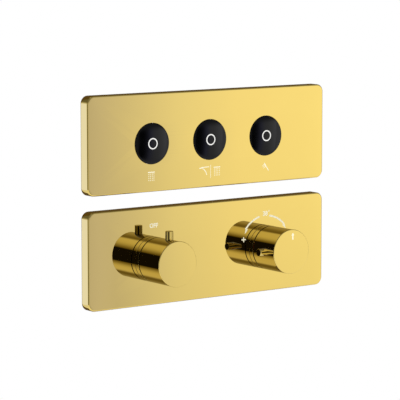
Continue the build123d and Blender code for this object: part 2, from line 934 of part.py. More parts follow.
for name, x in button_x.items():
    with BuildPart() as outlet_union:
        with BuildSketch(Plane.XY.offset(outlet_top - outlet_socket_depth)):
            with Locations((x, body_y)):
                Circle(outlet_socket_r)
        extrude(amount=outlet_socket_depth)
        port_top = Plane(origin=(x, body_y, outlet_top), x_dir=(1, 0, 0), z_dir=(0, 0, 1))
        add(hexagon(port_top, outlet_hex, outlet_rise).part)
        with BuildSketch(Plane.XY.offset(outlet_top + outlet_rise)):
            with Locations((x, body_y)):
                Circle(thread_r)
        extrude(amount=-thread_len, mode=Mode.SUBTRACT)
        with BuildSketch(Plane.XY.offset(outlet_top + outlet_rise)):
            with Locations((x, body_y)):
                Circle(outlet_port_r)
        extrude(amount=-outlet_rise - outlet_socket_depth, mode=Mode.SUBTRACT)
    write(outlet_union, f"{name}_outlet_union")

# Wall rails behind the bodies, and the screws and pillars
rail_w = 24.0
rail_t = 3.0
rail_half = 104.0
rail_corner_r = 4.0
slot_z = 95.0
slot_w = 6.5
slot_l = 14.0
sink_r = 5.0
sink_t = sink_r - body_screw_r
key_hex = 3.0
key_depth = 2.0
pillar_hex = 8.0
pillar_bore = 12.0
pillar_stud = 10.0
carrier_screw_len = 10.0
carrier_head_r = 3.6
carrier_head_t = 2.2
recess_l = 5.0
recess_w = 1.0
recess_depth = 1.2
screw_places = [(x, z) for x in (-rail_x, rail_x) for z in (knob_z, button_z)]

with BuildPart() as wall_rails:
    with BuildSketch(front_plane(pad_y + rail_t)):
        with Locations((-rail_x, 0), (rail_x, 0)):
            RectangleRounded(rail_w, 2 * rail_half, rail_corner_r)
        with Locations(*[(x, z) for x in (-rail_x, rail_x) for z in (-slot_z, slot_z)]):
            SlotOverall(slot_l, slot_w, mode=Mode.SUBTRACT)
        with Locations(*screw_places):
            Circle(body_screw_r, mode=Mode.SUBTRACT)
    extrude(amount=rail_t)
    with BuildSketch(front_plane(pad_y + rail_t)):
        with Locations(*screw_places):
            Circle(sink_r)
    extrude(amount=sink_t, taper=45, mode=Mode.SUBTRACT)
write(wall_rails, "wall_rails")

with BuildPart() as body_screws:
    with BuildSketch(front_plane(pad_y + rail_t)):
        with Locations(*screw_places):
            Circle(body_screw_r)
    extrude(amount=pad_y + rail_t - body_screw_end)
    with BuildSketch(front_plane(pad_y + rail_t)):
        with Locations(*screw_places):
            Circle(sink_r)
    extrude(amount=sink_t, taper=45)
    with BuildSketch(front_plane(pad_y + rail_t)):
        with Locations(*screw_places):
            RegularPolygon(radius=key_hex / 2, side_count=6, major_radius=False)
    extrude(amount=key_depth, mode=Mode.SUBTRACT)
write(body_screws, "body_screws")

with BuildPart() as carrier_pillars:
    with BuildSketch(front_plane(boss_face)):
        with Locations(*screw_places):
            RegularPolygon(radius=pillar_hex / 2, side_count=6, major_radius=False)
    extrude(amount=boss_face + gasket_t)
    with BuildSketch(front_plane(boss_face + pillar_stud)):
        with Locations(*screw_places):
            Circle(screw_r)
    extrude(amount=pillar_stud)
    with BuildSketch(front_plane(-gasket_t)):
        with Locations(*screw_places):
            Circle(screw_r)
    extrude(amount=-pillar_bore, mode=Mode.SUBTRACT)
write(carrier_pillars, "carrier_pillars")

with BuildPart() as carrier_screws:
    head_seat = -gasket_t - carrier_floor
    with BuildSketch(front_plane(head_seat)):
        with Locations(*screw_places):
            Circle(screw_r)
    extrude(amount=-carrier_screw_len)
    with BuildSketch(front_plane(head_seat)):
        with Locations(*screw_places):
            Circle(carrier_head_r)
    extrude(amount=carrier_head_t)
    with BuildSketch(front_plane(head_seat - carrier_head_t)):
        with Locations(*screw_places):
            Rectangle(recess_l, recess_w)
            Rectangle(recess_w, recess_l)
    extrude(amount=-recess_depth, mode=Mode.SUBTRACT)
write(carrier_screws, "carrier_screws")
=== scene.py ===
import bpy
import bmesh
import json
from math import asin, cos, pi, radians, sin, sqrt
from mathutils import Matrix, Vector


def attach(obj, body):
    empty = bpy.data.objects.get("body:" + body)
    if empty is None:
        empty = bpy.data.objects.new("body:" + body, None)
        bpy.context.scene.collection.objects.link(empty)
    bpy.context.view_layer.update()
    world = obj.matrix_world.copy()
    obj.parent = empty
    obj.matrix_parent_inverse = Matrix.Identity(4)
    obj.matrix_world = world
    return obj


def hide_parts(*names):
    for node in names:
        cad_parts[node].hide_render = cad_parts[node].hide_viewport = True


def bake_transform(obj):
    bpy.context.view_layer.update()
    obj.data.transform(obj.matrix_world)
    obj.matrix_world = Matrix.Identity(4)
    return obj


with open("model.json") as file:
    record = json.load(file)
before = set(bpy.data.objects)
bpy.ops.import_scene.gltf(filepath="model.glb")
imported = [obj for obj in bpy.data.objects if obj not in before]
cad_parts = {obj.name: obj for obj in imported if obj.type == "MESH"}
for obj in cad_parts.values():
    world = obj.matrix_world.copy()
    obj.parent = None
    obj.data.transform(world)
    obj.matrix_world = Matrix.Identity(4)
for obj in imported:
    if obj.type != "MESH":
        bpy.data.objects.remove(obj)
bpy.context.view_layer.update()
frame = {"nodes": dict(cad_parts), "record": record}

scene = bpy.context.scene
mm = 0.001

# Camera: a long lens from the left and a little above, as the control was photographed.
# The wall is the plane Y = 0 and the plates stand 12 mm in front of it.
look_down = 7.144
look_right = 36.086
lens_piece = bpy.data.cameras.new("camera")
lens_piece.lens = 193.8
lens_piece.sensor_width = 36
camera = bpy.data.objects.new("camera", lens_piece)
camera.location = (-1.30735, -1.78870, 0.27081)
camera.rotation_euler = (radians(90 - look_down), 0, radians(-look_right))
scene.collection.objects.link(camera)
scene.camera = camera
scene.view_settings.view_transform = "Standard"


# Studio: white all round for the camera, an even soft light on matt surfaces, and for
# polished metal the softboxes and the dark gaps between them. What a mirror shows at once
# and what a second mirror behind it shows are set apart.
def shader(tree, kind, sockets=None, **options):
    """Adds a node with its options, and fills its sockets with values or other nodes' outputs."""
    made = tree.nodes.new(kind)
    for key, value in options.items():
        setattr(made, key, value)
    for key, value in (sockets or {}).items():
        if isinstance(value, bpy.types.NodeSocket):
            tree.links.new(value, made.inputs[key])
        else:
            made.inputs[key].default_value = value
    return made


def maths(tree, operation, first, second=0.0):
    return shader(tree, "ShaderNodeMath", {0: first, 1: second}, operation=operation).outputs[0]


def rise(tree, value, low, high, bottom=0.0, top=1.0):
    """Smooth step of a value from low to high."""
    sockets = {"Value": value, 1: low, 2: high, 3: bottom, 4: top}
    return shader(
        tree, "ShaderNodeMapRange", sockets, interpolation_type="SMOOTHSTEP"
    ).outputs[0]


def blend_colour(tree, factor, under, over, manner="MIX"):
    """Colour that goes from under to over, or to their product, as the factor rises to 1."""
    made = shader(tree, "ShaderNodeMix", data_type="RGBA", blend_type=manner)
    for key, value in (("Factor", factor), ("A", under), ("B", over)):
        socket = next(s for s in made.inputs if s.name == key and s.enabled)
        if isinstance(value, bpy.types.NodeSocket):
            tree.links.new(value, socket)
        else:
            socket.default_value = value
    return next(s for s in made.outputs if s.enabled)


world = bpy.data.worlds.new("studio")
world.use_nodes = True
world.cycles.sampling_method = "NONE"
scene.world = world
studio = world.node_tree
studio.nodes.clear()
heading = shader(
    studio,
    "ShaderNodeSeparateXYZ",
    {0: shader(studio, "ShaderNodeTexCoord").outputs["Generated"]},
)
towards_room = maths(studio, "MULTIPLY", heading.outputs["Y"], -1.0)
turn = maths(studio, "DEGREES", maths(studio, "ARCTAN2", heading.outputs["X"], towards_room))
height = maths(studio, "DEGREES", maths(studio, "ARCSINE", heading.outputs["Z"]))


def window(value, dark_from, bright_from, bright_to, dark_to):
    """Mask that fades in between the first two values and out between the last two."""
    up = rise(studio, value, dark_from, bright_from)
    down = rise(studio, value, bright_to, dark_to, 1.0, 0.0)
    return maths(studio, "MULTIPLY", up, down)


def lit(boxes):
    """The dark studio with softboxes over it, each given by its turns, heights and colour."""
    lights = dark_gap
    for turns, heights, colour in boxes:
        mask = maths(studio, "MULTIPLY", window(turn, *turns), window(height, *heights))
        lights = blend_colour(studio, mask, lights, colour)
    return lights


# Turns run from straight out of the wall towards +X and heights from the level up, both in
# degrees. A box fades in between the first two of its values and out between the last two.
dark_gap = (0.13, 0.125, 0.10, 1)
all_round = (-182, -181, 181, 182)
back_light = (0.95, 0.96, 1.0, 1)
left_light = (0.72, 0.74, 0.84, 1)
side_light = (0.82, 0.93, 1.75, 1)
edge_light = (1.1, 1.1, 1.12, 1)
front_light = (0.95, 0.95, 0.97, 1)
flag = (0.006, 0.006, 0.008, 1)
ceiling_box = (all_round, (76, 82, 95, 100), (0.9, 0.92, 1.0, 1))
rear_boxes = (
    ((-155, -150, -137, -132), (-20, -14, -2, 6), side_light),
    ((150, 175, 181, 182), (-60, -40, 50, 70), back_light),
    ((-182, -181, -178, -168), (-60, -40, 50, 70), back_light),
)
first_boxes = (
    ((-40, -30, 110, 125), (-60, -40, 40, 60), (0.28, 0.28, 0.29, 1)),
    (all_round, (-100, -95, -17, -12), (0.80, 0.80, 0.86, 1)),
    ((-75, -60, 5, 20), (-2, 4, 60, 75), (0.20, 0.20, 0.22, 1)),
    ((-13, -9, 5, 9), (-15, -14, 4, 8), front_light),
    ((-72, -66, -42, -36), (-12, -10, -4, -2), (0.05, 0.05, 0.055, 1)),
    ((-166, -158, -100, -88), (-35, -20, -4, 18), left_light),
    *rear_boxes,
    ((46, 48, 52, 62), (-17, -12, 3, 8), edge_light),
    ceiling_box,
)
second_boxes = (
    ((8, 34, 60, 80), (-45, -22, 22, 45), (0.30, 0.31, 0.36, 1)),
    ((-90, -70, 0, 11), (21, 36, 70, 80), (0.53, 0.60, 1.0, 1)),
    ((-90, -70, -9, 6), (-80, -70, -32, -17), (0.54, 0.61, 1.05, 1)),
    ((-90, -80, -16, -11), (-19, -16, 19, 23), flag),
    ((-13, -9, 5, 9), (-15, -11, 11, 15), front_light),
    ((-166, -158, -130, -100), (-35, -20, -4, 18), left_light),
    *rear_boxes,
    ((46, 48, 60, 66), (-17, -12, 3, 8), (0.30, 0.30, 0.42, 1)),
    ceiling_box,
)

# The main box is the long softbox that the plate fronts mirror. Its light changes along the
# turn, over a sweep from 0 to 60 degrees.
sweep = 60.0
main_box = shader(studio, "ShaderNodeValToRGB", {0: maths(studio, "DIVIDE", turn, sweep)})
main_steps = (
    (27.5, (0.02, 0.02, 0.025, 1)),
    (30.2, (0.13, 0.13, 0.2, 1)),
    (33.3, (0.57, 0.58, 0.86, 1)),
    (34.2, (0.67, 0.68, 0.88, 1)),
    (35.4, (0.82, 0.83, 0.95, 1)),
    (37.1, (0.95, 0.94, 0.96, 1)),
    (39.2, (0.99, 0.985, 0.97, 1)),
    (43.0, (1.25, 1.25, 1.25, 1)),
    (46.0, (1.5, 1.5, 1.55, 1)),
)
ramp = main_box.color_ramp
ramp.elements.remove(ramp.elements[-1])
ramp.elements[0].position = main_steps[0][0] / sweep
ramp.elements[0].color = main_steps[0][1]
for step, colour in main_steps[1:]:
    ramp.elements.new(step / sweep).color = colour

# The main box is a little dimmer towards its foot, but not at its left end. Mirror rays past
# their first bounce see the second boxes, and those past their second are tinted.
foot_heights = (-13.0, -4.0)
foot_light = 0.84
left_end_turns = (33.0, 37.0)
main_turns = (23, 24, 46.5, 47.5)
main_heights = (-17, -13, 1, 5)
third_tint = (0.22, 0.33, 2.2, 1)
fall = rise(studio, height, *foot_heights, foot_light, 1.0)
fall = maths(studio, "MAXIMUM", fall, rise(studio, turn, *left_end_turns, 1.0, 0.0))
main_light = blend_colour(studio, fall, (0, 0, 0, 1), main_box.outputs[0])
main_mask = maths(
    studio, "MULTIPLY", window(turn, *main_turns), window(height, *main_heights)
)
ray = shader(studio, "ShaderNodeLightPath")


def past_bounce(count):
    """Mask of the rays that have left more mirrors than this."""
    return rise(studio, ray.outputs["Glossy Depth"], count + 0.4, count + 0.6)


light = blend_colour(studio, past_bounce(1), lit(first_boxes), lit(second_boxes))
light = blend_colour(studio, main_mask, light, main_light)
light = blend_colour(studio, past_bounce(2), light, third_tint, "MULTIPLY")
upward = rise(studio, heading.outputs["Z"], -1.0, 1.0)
even_light = blend_colour(studio, upward, (0.92, 0.92, 0.94, 1), (1.18, 1.18, 1.15, 1))
mirrored = maths(
    studio, "MAXIMUM", ray.outputs["Is Glossy Ray"], ray.outputs["Is Transmission Ray"]
)
seen = blend_colour(studio, mirrored, even_light, light)
seen = blend_colour(studio, ray.outputs["Is Camera Ray"], seen, (1, 1, 1, 1))
background = shader(studio, "ShaderNodeBackground", {"Color": seen, "Strength": 1.0})
shader(studio, "ShaderNodeOutputWorld", {"Surface": background.outputs[0]})


# Wall and floor: the wall is seen from the room only, so the valve bodies in it show from
# behind, and mirrors see it dark between the plates and nothing of it beside them. The
# floor is plain, pale and matt, lies below the view and is seen from above only.
def set_down(form, name):
    """Makes a form an object in the scene."""
    mesh = bpy.data.meshes.new(name)
    form.to_mesh(mesh)
    form.free()
    made = bpy.data.objects.new(name, mesh)
    scene.collection.objects.link(made)
    return made


room_size = 3.0
wall_y = 0.3 * mm
floor_z = -0.36
plate_ends = 150.5 * mm


def flat_square(name, place, tilt):
    form = bmesh.new()
    bmesh.ops.create_grid(form, x_segments=1, y_segments=1, size=room_size)
    bmesh.ops.rotate(form, matrix=Matrix.Rotation(tilt, 3, "X"), verts=form.verts)
    bmesh.ops.translate(form, vec=place, verts=form.verts)
    made = set_down(form, name)
    return made


wall = flat_square("wall", (0, wall_y, 0), radians(90))
wall.visible_diffuse = False
wall.visible_transmission = False
wall.visible_shadow = False
wall_paint = bpy.data.materials.new("white wall")
wall_paint.use_nodes = True
paint = wall_paint.node_tree
paint.nodes.clear()
sideways = shader(
    paint,
    "ShaderNodeSeparateXYZ",
    {0: shader(paint, "ShaderNodeTexCoord").outputs["Object"]},
).outputs["X"]
look_path = shader(paint, "ShaderNodeLightPath")
beside = maths(paint, "GREATER_THAN", maths(paint, "ABSOLUTE", sideways), plate_ends)
unseen = maths(
    paint,
    "MAXIMUM",
    shader(paint, "ShaderNodeNewGeometry").outputs["Backfacing"],
    maths(paint, "MULTIPLY", look_path.outputs["Is Glossy Ray"], beside),
)
wall_colour = blend_colour(
    paint, look_path.outputs["Is Camera Ray"], (0.10, 0.070, 0.025, 1), (1, 1, 1, 1)
)
both = shader(
    paint,
    "ShaderNodeMixShader",
    {
        0: unseen,
        1: shader(paint, "ShaderNodeEmission", {"Color": wall_colour}).outputs[0],
        2: shader(paint, "ShaderNodeBsdfTransparent").outputs[0],
    },
)
shader(paint, "ShaderNodeOutputMaterial", {"Surface": both.outputs[0]})
wall.data.materials.append(wall_paint)

floor = flat_square("floor", (0, 0, floor_z), 0)
floor.visible_glossy = False
floor_paint = bpy.data.materials.new("pale floor")
floor_paint.use_nodes = True
paint = floor_paint.node_tree
floor_look = paint.nodes["Principled BSDF"]
floor_look.inputs["Base Color"].default_value = (0.93, 0.93, 0.92, 1)
floor_look.inputs["Roughness"].default_value = 0.9
underneath = shader(
    paint,
    "ShaderNodeMixShader",
    {
        0: shader(paint, "ShaderNodeNewGeometry").outputs["Backfacing"],
        1: floor_look.outputs[0],
        2: shader(paint, "ShaderNodeBsdfTransparent").outputs[0],
    },
)
paint.links.new(underneath.outputs[0], paint.nodes["Material Output"].inputs["Surface"])
floor.data.materials.append(floor_paint)


# Trim plates: two brass shells with a polished gold plating, 3 mm thick and open at the
# back, with round holes for the buttons and the knob sleeves.
def polish_marks():
    """Node group: soft smudges, and fine lines drawn out along the axes as asked."""
    group = bpy.data.node_groups.new("polishing marks", "ShaderNodeTree")
    face = group.interface
    face.new_socket("Smudge size", in_out="INPUT", socket_type="NodeSocketFloat")
    face.new_socket("Line size", in_out="INPUT", socket_type="NodeSocketFloat")
    face.new_socket("Line run", in_out="INPUT", socket_type="NodeSocketVector")
    face.new_socket("Smudges", in_out="OUTPUT", socket_type="NodeSocketFloat")
    face.new_socket("Lines", in_out="OUTPUT", socket_type="NodeSocketFloat")
    given = shader(group, "NodeGroupInput")
    place = shader(group, "ShaderNodeTexCoord").outputs["Object"]
    smudge = shader(
        group,
        "ShaderNodeTexNoise",
        {"Vector": place, "Scale": given.outputs["Smudge size"], "Detail": 3.0, "Roughness": 0.55},
    )
    drawn = shader(
        group,
        "ShaderNodeMapping",
        {"Vector": place, "Scale": given.outputs["Line run"]},
        vector_type="POINT",
    )
    lines = shader(
        group,
        "ShaderNodeTexNoise",
        {
            "Vector": drawn.outputs[0],
            "Scale": given.outputs["Line size"],
            "Detail": 4.0,
            "Roughness": 0.7,
        },
    )
    shader(
        group,
        "NodeGroupOutput",
        {"Smudges": rise(group, smudge.outputs[0], 0.3, 0.7), "Lines": lines.outputs[0]},
    )
    return group


marks = polish_marks()

# How fine the lines are along X, Y and Z: they run where the number is small.
along_x = (1.0, 18.0, 14.0)
round_x = (1.0, 0.02, 0.02)
round_y = (0.02, 1.0, 0.02)
round_z = (0.02, 0.02, 1.0)
every_way = (1.0, 1.0, 1.0)

metallic = 1.0
plain = 0.0


def surface(name, metal, colours, gloss, relief=0.0, smudge=30.0, line=150.0, run=along_x, ior=1.5):
    """Material whose colour and roughness drift over smudges, with fine lines in relief."""
    made = bpy.data.materials.new(name)
    made.use_nodes = True
    tree = made.node_tree
    look = tree.nodes["Principled BSDF"]
    look.inputs["Metallic"].default_value = metal
    look.inputs["IOR"].default_value = ior
    mark = shader(tree, "ShaderNodeGroup", node_tree=marks)
    mark.inputs["Smudge size"].default_value = smudge
    mark.inputs["Line size"].default_value = line
    mark.inputs["Line run"].default_value = run
    tree.links.new(blend_colour(tree, mark.outputs["Smudges"], *colours), look.inputs["Base Color"])
    tree.links.new(
        rise(tree, mark.outputs["Smudges"], 0.0, 1.0, *gloss), look.inputs["Roughness"]
    )
    if relief:
        lift = shader(
            tree, "ShaderNodeBump", {"Height": mark.outputs["Lines"], "Distance": relief}
        )
        tree.links.new(lift.outputs[0], look.inputs["Normal"])
    return made


gold_colours = ((0.965, 0.722, 0.197, 1), (0.973, 0.73, 0.20, 1))
gold = surface("polished gold plate", metallic, gold_colours, (0.012, 0.028), smudge=22.0)
sharp_turn = radians(32)


def sharp_edges(form):
    """Edges where the surface turns by more than a rounded edge does."""
    return [e for e in form.edges if e.is_manifold and e.calc_face_angle() > sharp_turn]


def piece(form, name, material, slot, body, *nodes, broken=0.0):
    """Makes a form an object that rides on its body, its edges broken, for its nodes.

    A body given as (one, its end, other, its end) only has the piece's placing baked into its mesh;
    the piece then rides on no body and is not stretched."""
    for face in form.faces:
        face.smooth = True
    for edge in sharp_edges(form):
        edge.smooth = False
    made = set_down(form, name)
    made.data.materials.append(material)
    if broken:
        edges = made.modifiers.new("broken edges", "BEVEL")
        edges.width = broken
        edges.segments = 2
        edges.limit_method = "ANGLE"
        edges.angle_limit = sharp_turn
    even = made.modifiers.new("even shading", "WEIGHTED_NORMAL")
    even.keep_sharp = True
    if isinstance(body, tuple):
        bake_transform(made)
    else:
        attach(made, body)
    if nodes:
        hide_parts(*nodes)


def soften(form, edges, width, segments=3):
    bmesh.ops.bevel(
        form, geom=edges, offset=width, offset_type="OFFSET", segments=segments, profile=0.5,
        affect="EDGES", material=-1,
    )


round_steps = 96
fine_steps = 128
plate_w, plate_t, plate_h = 300 * mm, 12 * mm, 100 * mm
corner_r = 8 * mm
front_edge_r = 1.4 * mm
lip_edge = 0.2 * mm
shell_t = 3 * mm


def pierce(form, face, holes, hole_r):
    """Fills a flat face again with round holes in it, and gives each hole's edges."""
    depth = face.calc_center_median().y
    rim = list(face.edges)
    bmesh.ops.delete(form, geom=[face], context="FACES_ONLY")
    rings = []
    for x, z in holes:
        place = Matrix.Translation((x, depth, z)) @ Matrix.Rotation(radians(90), 4, "X")
        ring = bmesh.ops.create_circle(
            form, cap_ends=False, radius=hole_r, segments=round_steps, matrix=place
        )
        rings.append(list({e for v in ring["verts"] for e in v.link_edges}))
    edges = rim + [e for ring in rings for e in ring]
    bmesh.ops.triangle_fill(form, edges=edges, use_beauty=True, normal=(0, -1, 0))
    return rings


def trim_plate(name, middle, holes, hole_r):
    """Plate shell from a block: rounded corners, softened front edge, hollow back, holes."""
    form = bmesh.new()
    bmesh.ops.create_cube(form, size=1)
    bmesh.ops.scale(form, vec=(plate_w, plate_t, plate_h), verts=form.verts)
    bmesh.ops.translate(form, vec=(0, -plate_t / 2, middle), verts=form.verts)
    corners = [e for e in form.edges if abs(e.verts[0].co.y - e.verts[1].co.y) > plate_t / 2]
    soften(form, corners, corner_r, 14)
    front = min(form.faces, key=lambda f: f.calc_center_median().y)
    soften(form, list(front.edges), front_edge_r, 8)
    back = max(form.faces, key=lambda f: f.calc_center_median().y)
    bmesh.ops.inset_region(form, faces=[back], thickness=shell_t, use_even_offset=True)
    sunk = bmesh.ops.extrude_face_region(form, geom=[back])["geom"]
    sunk_points = [g for g in sunk if isinstance(g, bmesh.types.BMVert)]
    bmesh.ops.translate(form, vec=(0, shell_t - plate_t, 0), verts=sunk_points)
    pocket = next(g for g in sunk if isinstance(g, bmesh.types.BMFace))
    if back.is_valid:
        bmesh.ops.delete(form, geom=[back], context="FACES_ONLY")
    front = min(form.faces, key=lambda f: f.calc_center_median().y)
    outer_rings = pierce(form, front, holes, hole_r)
    inner_rings = pierce(form, pocket, holes, hole_r)
    for outer, inner in zip(outer_rings, inner_rings):
        bmesh.ops.bridge_loops(form, edges=outer + inner)
    lip = [e for ring in outer_rings for e in ring if e.is_valid]
    bmesh.ops.recalc_face_normals(form, faces=form.faces)
    soften(form, lip, lip_edge, 2)
    bmesh.ops.recalc_face_normals(form, faces=form.faces)
    piece(form, name + "_face", gold, "polished_gold", "valve", name)


plate_z = 58 * mm
button_hole_r = 21.0 * mm
sleeve_hole_r = 20.3 * mm
button_x = {"left": -72.5 * mm, "middle": 0.0, "right": 72.5 * mm}
button_z = 57.1 * mm
knob_x = {"flow": -70.5 * mm, "temperature": 74.5 * mm}
knob_z = -61.1 * mm
button_holes = [(x, button_z) for x in button_x.values()]
sleeve_holes = [(x, knob_z) for x in knob_x.values()]
trim_plate("button_plate", plate_z, button_holes, button_hole_r)
trim_plate("thermostat_plate", -plate_z, sleeve_holes, sleeve_hole_r)


# Base rings: turned rings that screw onto the sleeves and clamp the lower plate. A narrow
# shadow gap parts each from its knob.
touching = 0.001 * mm


def aim(form, along, at):
    """Swings a form made about the Y axis to another direction, and moves it to its place."""
    swing = Vector((0, 1, 0)).rotation_difference(Vector(along)).to_matrix()
    bmesh.ops.rotate(form, matrix=swing, verts=form.verts)
    bmesh.ops.translate(form, vec=at, verts=form.verts)


def turned(outline, at, along=(0, 1, 0), edge=0.0, steps=round_steps):
    """Form turned about a line from (distance along it, radius) points, its edges broken."""
    form = bmesh.new()
    rows = [form.verts.new((radius, depth, 0)) for depth, radius in outline]
    sides = [form.edges.new(pair) for pair in zip(rows, rows[1:])]
    bmesh.ops.spin(
        form, geom=rows + sides, cent=(0, 0, 0), axis=(0, 1, 0), angle=2 * pi, steps=steps,
        use_merge=True,
    )
    bmesh.ops.remove_doubles(form, verts=form.verts, dist=touching)
    bmesh.ops.recalc_face_normals(form, faces=form.faces)
    if edge:
        soften(form, sharp_edges(form), edge)
    aim(form, along, at)
    return form


turned_gold = surface(
    "polished gold, turned", metallic, gold_colours, (0.008, 0.02), smudge=22.0
)


def gold_piece(form, node, ending, body):
    """Turned gold piece that stands for its node."""
    piece(form, node + ending, turned_gold, "polished_gold", body, node)


fine_edge = 0.08 * mm
knob_r = 23.25 * mm
plate_front = -plate_t
ring_chamfer = 0.5 * mm
ring_face = -17.9 * mm
ring_floor = -16.5 * mm
ring_bore_r = 20.0 * mm
ring_lip_r = 17.2 * mm
for name, x in knob_x.items():
    ring = turned(
        [
            (plate_front, ring_bore_r),
            (plate_front, knob_r - ring_chamfer),
            (plate_front - ring_chamfer, knob_r),
            (ring_face, knob_r),
            (ring_face, ring_lip_r),
            (ring_floor, ring_lip_r),
            (ring_floor, ring_bore_r),
            (plate_front, ring_bore_r),
        ],
        (x, 0, knob_z),
        edge=fine_edge,
    )
    gold_piece(ring, name + "_base_ring", "_turned", "valve")


# Knobs: turned from bar, bored from behind for the hub, with a softened front edge, a hole
# underneath for the set screw, and plated with the plates.
def rim_edges(form, depth, radius):
    """Edges of the circle at this depth and radius about the Y axis."""
    near = 0.05 * mm

    def on_rim(v):
        away = Vector((v.co.x, v.co.z)).length - radius
        return max(abs(v.co.y - depth), abs(away)) < near

    return [e for e in form.edges if on_rim(e.verts[0]) and on_rim(e.verts[1])]


def drilled(form, drill):
    """Form with a hole cut by the form of its drill."""
    blank, bit = set_down(form, "blank"), set_down(drill, "drill")
    cut = blank.modifiers.new("hole", "BOOLEAN")
    cut.operation = "DIFFERENCE"
    cut.solver = "EXACT"
    cut.object = bit
    bpy.context.view_layer.update()
    cut_mesh = bpy.data.meshes.new_from_object(
        blank.evaluated_get(bpy.context.evaluated_depsgraph_get())
    )
    made = bmesh.new()
    made.from_mesh(cut_mesh)
    bpy.data.meshes.remove(cut_mesh)
    for spent in (blank, bit):
        mesh = spent.data
        bpy.data.objects.remove(spent)
        bpy.data.meshes.remove(mesh)
    return made


knob_front = -54.0 * mm
knob_back = -19.5 * mm
knob_edge_r = 0.6 * mm
knob_bore_r = 18.0 * mm
knob_shoulder = -34.0 * mm
hub_bore_r = 6.5 * mm
hub_bore_end = -47.0 * mm
grip_y = -39.3 * mm
screw_hole_r = 2.0 * mm
drill_length = 20.0 * mm
drill_z = -15.0 * mm
for name, x in knob_x.items():
    knob = turned(
        [
            (hub_bore_end, 0.0),
            (hub_bore_end, hub_bore_r),
            (knob_shoulder, hub_bore_r),
            (knob_shoulder, knob_bore_r),
            (knob_back, knob_bore_r),
            (knob_back, knob_r),
            (knob_front, knob_r),
            (knob_front, 0.0),
        ],
        (0, 0, 0),
        steps=fine_steps,
    )
    soften(knob, rim_edges(knob, knob_front, knob_r), knob_edge_r, 6)
    soften(knob, rim_edges(knob, knob_back, knob_r), fine_edge)
    drill = bmesh.new()
    bmesh.ops.create_cone(
        drill, cap_ends=True, segments=32, radius1=screw_hole_r, radius2=screw_hole_r,
        depth=drill_length, matrix=Matrix.Translation((0, grip_y, drill_z)),
    )
    knob = drilled(knob, drill)
    bmesh.ops.translate(knob, vec=(x, 0, knob_z), verts=knob.verts)
    gold_piece(knob, name + "_knob", "_turned", name + "_control")


# Levers: short round pins screwed into the knobs. The flow pin points up at rest and the
# temperature pin to the left.
lever_r = 4.0 * mm
lever_foot = 22.0 * mm
lever_tip = 31.95 * mm
lever_edge = 0.4 * mm
lever_way = {"flow": (0, 0, 1), "temperature": (-1, 0, 0)}
for name, x in knob_x.items():
    lever = turned(
        [(lever_foot, 0.0), (lever_foot, lever_r), (lever_tip, lever_r), (lever_tip, 0.0)],
        (x, grip_y, knob_z),
        lever_way[name],
        edge=lever_edge,
        steps=64,
    )
    gold_piece(lever, name + "_lever", "_pin", name + "_control")


# Push-button caps: glossy black moulded discs, slightly domed, their rims 0.8 mm proud of the
# plate, with a thin white ring let into each.
black = surface(
    "glossy black cap",
    plain,
    ((0.0006, 0.0006, 0.0007, 1), (0.001, 0.001, 0.001, 1)),
    (0.05, 0.09),
    smudge=60.0,
    ior=1.35,
)
inlay = surface(
    "white inlay", plain, ((0.93, 0.93, 0.91, 1), (0.90, 0.90, 0.88, 1)), (0.35, 0.45), smudge=60.0
)
crown = -14.0 * mm
cap_rim = -12.8 * mm
cap_r = 20.75 * mm
dome_half = cap_r - 0.3 * mm
dome_r = (dome_half**2 + (cap_rim - crown) ** 2) / (2 * (cap_rim - crown))
cap_back = -5.0 * mm
cap_floor = -10.8 * mm
cap_bore_r = cap_r - 1.6 * mm
stem_r = 5.0 * mm
stem_end = -6.0 * mm
cap_corner = (-12.7 * mm, 20.66 * mm)
cap_side_top = -12.5 * mm
inlay_in_r = 4.55 * mm
inlay_in_top = -13.97 * mm
inlay_out_r = 5.75 * mm
inlay_out_top = -13.94 * mm
inlay_foot = -13.2 * mm


def domed(outline, at):
    """Turned form whose first point, on the axis, is drawn out to a dome before the outline."""
    form = bmesh.new()
    top = form.verts.new((0, crown, 0))
    arc = bmesh.ops.spin(
        form, geom=[top], cent=(0, crown + dome_r, 0), axis=(0, 0, 1),
        angle=asin(dome_half / dome_r), steps=12,
    )
    end = arc["geom_last"][0]
    rows = [end] + [form.verts.new((radius, depth, 0)) for depth, radius in outline]
    for pair in zip(rows, rows[1:]):
        form.edges.new(pair)
    bmesh.ops.spin(
        form, geom=list(form.verts) + list(form.edges), cent=(0, 0, 0), axis=(0, 1, 0),
        angle=2 * pi, steps=fine_steps, use_merge=True,
    )
    bmesh.ops.remove_doubles(form, verts=form.verts, dist=touching)
    bmesh.ops.recalc_face_normals(form, faces=form.faces)
    bmesh.ops.translate(form, vec=at, verts=form.verts)
    return form


for name, x in button_x.items():
    cap = domed(
        [
            cap_corner,
            (cap_side_top, cap_r),
            (cap_back, cap_r),
            (cap_back, cap_bore_r),
            (cap_floor, cap_bore_r),
            (cap_floor, stem_r),
            (stem_end, stem_r),
            (stem_end, 0.0),
        ],
        (x, 0, button_z),
    )
    piece(cap, name + "_cap", black, "black_gloss", name + "_button", name + "_button_cap")
    ring = turned(
        [
            (inlay_foot, inlay_in_r),
            (inlay_in_top, inlay_in_r),
            (inlay_out_top, inlay_out_r),
            (inlay_foot, inlay_out_r),
            (inlay_foot, inlay_in_r),
        ],
        (x, 0, button_z),
    )
    piece(ring, name + "_ring", inlay, "white_inlay", name + "_button", name + "_button_ring")


# Printed signs: cream lettering and symbols on the plates and on the temperature knob,
# screen-printed stroke by stroke, each stroke a little over the one before.
print_face = -12.1 * mm
knob_print_face = -54.05 * mm
ink_lift = 0.002 * mm
cream = surface(
    "cream print", plain, ((1.0, 0.95, 0.72, 1), (0.98, 0.925, 0.69, 1)), (0.5, 0.65), smudge=400.0
)


